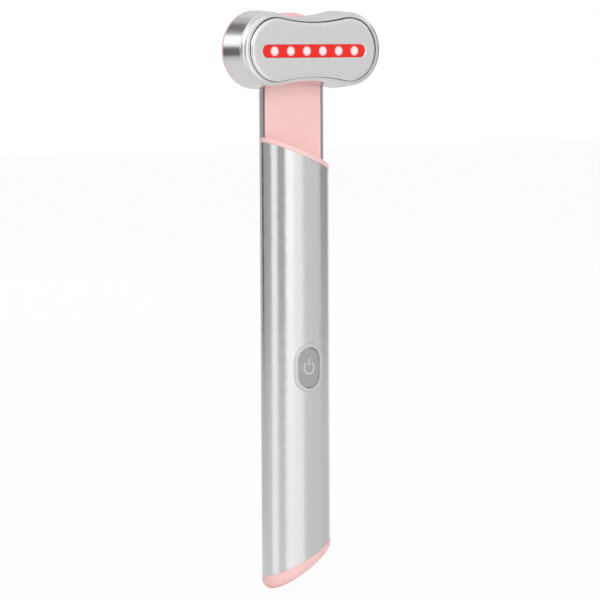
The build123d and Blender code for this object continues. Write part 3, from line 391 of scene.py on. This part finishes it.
def card(name, azimuths, elevations, level, distance=1.0):
    """A curved grey card that only reflections see, at the given grey level, where white is 1."""
    sheet = bmesh.new()
    rows = []
    for j in range(card_steps + 1):
        elevation = elevations[0] + (elevations[1] - elevations[0]) * j / card_steps
        row = []
        for i in range(card_steps + 1):
            azimuth = azimuths[0] + (azimuths[1] - azimuths[0]) * i / card_steps
            row.append(sheet.verts.new(card_centre + towards(azimuth, elevation) * distance))
        rows.append(row)
    for below, over in zip(rows, rows[1:]):
        for i in range(card_steps):
            sheet.faces.new((below[i], below[i + 1], over[i + 1], over[i]))
    mesh = bpy.data.meshes.new(name)
    sheet.to_mesh(mesh)
    sheet.free()
    made = bpy.data.objects.new(name, mesh)
    paint = bpy.data.materials.new(name)
    paint.use_nodes = True
    paint.node_tree.nodes.clear()
    light = add_node(paint.node_tree, "ShaderNodeEmission", Strength=level)
    end = add_node(paint.node_tree, "ShaderNodeOutputMaterial")
    paint.node_tree.links.new(light.outputs[0], end.inputs["Surface"])
    mesh.materials.append(paint)
    scene.collection.objects.link(made)
    made.visible_camera = made.visible_diffuse = made.visible_transmission = False
    made.visible_shadow = made.visible_volume_scatter = False


card("card_back_far_left", (-218, -153), (-9, 8), 0.55)
card("card_back_left", (-153, -135), (-9, 8), 0.03)
card("card_back_left_near", (-135, -102), (-9, 8), 0.38)
card("card_back_left_light", (-166, -136), (12, 26), 1.35)
card("card_back_left_high", (-171, -146), (26.5, 45), 0.14)
card("card_back_middle", (-190, -171), (20, 45), 0.45)
card("card_back_left_low", (-218, -102), (-16, -9), 0.6)
card("card_back_left_floor", (-218, -102), (-60, -16), 0.76)
card("card_back_right", (130, 170), (-9, 45), 0.7)
card("card_left", (-102, -74), (-9, 20), 0.42)
card("card_left_low", (-102, -80), (-40, -9), 0.7)
card("card_camera", (-46.5, -20.5), (-9, 22), 0.395)
card("card_camera_low", (-49, -24), (-40, -9), 0.7)
card("card_front", (-20.5, 1), (-9, 22), 1.22)
card("card_front_low", (-22, 1), (-40, -9), 1.05)
card("card_front_right", (22, 66), (-40, 4), 0.68)
card("card_front_right_high", (14, 70), (4, 36), 0.76)
card("card_ceiling", (30, 150), (36, 60), 0.74)
card("card_overhead", (-180, 180), (62, 90), 0.74)
card("card_underfoot", (-180, 180), (-90, -40), 0.74, distance=1.1)
card("card_right", (66, 108), (-4.5, 22), 0.34)
card("card_right_middle", (66, 108), (-9, -4.5), 0.46)
card("card_right_low", (66, 108), (-40, -9), 0.62)

# ---------------------------------------------------------------- massage plate
arc_steps = 48
round_steps = 10
edge_lead = 0.02 * mm
face_lead = 0.05 * mm
face_shares = (0.35, 0.7, 0.985)
# Strips between neighbouring loops, counted from the back edge: the round edge but for its last
# two, and the chamfer round the window
round_start = 2
bright_round = range(round_start, round_start + round_steps - 2)
bevel_strip = round_start + round_steps + 2 + len(face_shares)


def peanut(inset):
    """Points round the plate's outline, this far inside it: two lobes joined by a shallow waist."""
    squares = plate_offset**2 + plate_waist**2 - plate_radius**2
    waist_radius = squares / (2 * (plate_radius - plate_waist))
    centre = plate_waist + waist_radius
    lean = atan2(centre, plate_offset)
    lobe, hollow = plate_radius - inset, waist_radius + inset
    points = []
    for cx, cz, radius, start, turn in (
        (plate_offset, 0, lobe, lean - pi, 2 * pi - 2 * lean),
        (0, centre, hollow, -lean, 2 * lean - pi),
        (-plate_offset, 0, lobe, lean, 2 * pi - 2 * lean),
        (0, -centre, hollow, pi - lean, 2 * lean - pi),
    ):
        for i in range(arc_steps):
            angle = start + turn * i / arc_steps
            side = cx + radius * cos(angle) - plate_left
            points.append((side, cz + radius * sin(angle) - plate_drop))
    return points


def slot_point(point, half_width):
    """The place on the window's outline that lies opposite a point of the plate's outline."""
    reach = window_length / 2 - window_width / 2
    middle = max(-reach, min(reach, point[0]))
    away = Vector((point[0] - middle, point[1])).normalized()
    return (middle + away.x * half_width, away.y * half_width - window_drop)


def part_way(one, two, share):
    """Points at this share of the way from the first loop to the second."""
    return [(a[0] + (b[0] - a[0]) * share, a[1] + (b[1] - a[1]) * share) for a, b in zip(one, two)]


def plate_loops():
    """The plate's section from its back edge, over the round edge and the face, into the window."""
    outline = peanut(plate_gap)
    loops = [(outline, plate_back), (outline, plate_front - plate_round - edge_lead)]
    for i in range(round_steps + 1):
        angle = pi / 2 * i / round_steps
        inset = plate_gap + plate_round_width * (1 - cos(angle))
        loops.append((peanut(inset), plate_front - plate_round * (1 - sin(angle))))
    inner = peanut(plate_gap + plate_round_width)
    face = peanut(plate_gap + plate_round_width + face_lead)
    edge = [slot_point(p, window_width / 2 + window_bevel) for p in inner]
    opening = [slot_point(p, window_width / 2) for p in inner]
    loops.append((face, plate_front))
    for share in face_shares:
        loops.append((part_way(face, edge, share), plate_front))
    loops.append((edge, plate_front))
    loops.append((opening, plate_front - window_bevel))
    loops.append((opening, plate_back))
    return loops


plate_body = bmesh.new()
rings = [
    [plate_body.verts.new((x, -front, head_height + z)) for x, z in points]
    for points, front in plate_loops()
]
for strip, (one, two) in enumerate(zip(rings, rings[1:] + rings[:1])):
    for i in range(len(one)):
        after = (i + 1) % len(one)
        face = plate_body.faces.new((one[i], one[after], two[after], two[i]))
        face.smooth = strip < bevel_strip
        face.material_index = 1 if strip in bright_round or strip == bevel_strip else 0
bmesh.ops.recalc_face_normals(plate_body, faces=plate_body.faces)
plate_mesh = bpy.data.meshes.new("plate_visual")
plate_body.to_mesh(plate_mesh)
plate_body.free()
plate_mesh.materials.append(satin.material)
plate_mesh.materials.append(chamfer.material)
plate = bpy.data.objects.new("plate_visual", plate_mesh)
scene.collection.objects.link(plate)
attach(plate, "head")
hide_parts("massage_plate")

# ---------------------------------------------------------------- floor
floor_half = 3.0
floor_level = cad_low.z
floor_corners = ((-1, -1), (1, -1), (1, 1), (-1, 1))
floor_white_share = 0.95
floor_mesh = bpy.data.meshes.new("floor")
floor_mesh.from_pydata(
    [(floor_half * x, floor_half * y, floor_level) for x, y in floor_corners], [], [(0, 1, 2, 3)]
)
floor = bpy.data.objects.new("floor", floor_mesh)
scene.collection.objects.link(floor)
# The camera sees it almost white, with the wand's shadow left in it
floor_finish = Finish("floor", (0.92, 0.92, 0.92), 0.9)
camera_rays = floor_finish.node("ShaderNodeLightPath").outputs["Is Camera Ray"]
floor_mix = floor_finish.node("ShaderNodeMixShader")
floor_finish.link(
    combine(floor_finish.tree, "MULTIPLY", camera_rays, floor_white_share), floor_mix.inputs["Fac"]
)
floor_finish.link(floor_finish.shader.outputs[0], floor_mix.inputs[1])
floor_finish.link(floor_finish.node("ShaderNodeEmission").outputs[0], floor_mix.inputs[2])
floor_out = floor_finish.tree.nodes["Material Output"]
floor_finish.link(floor_mix.outputs[0], floor_out.inputs["Surface"])
floor_mesh.materials.append(floor_finish.material)
floor.visible_glossy = False
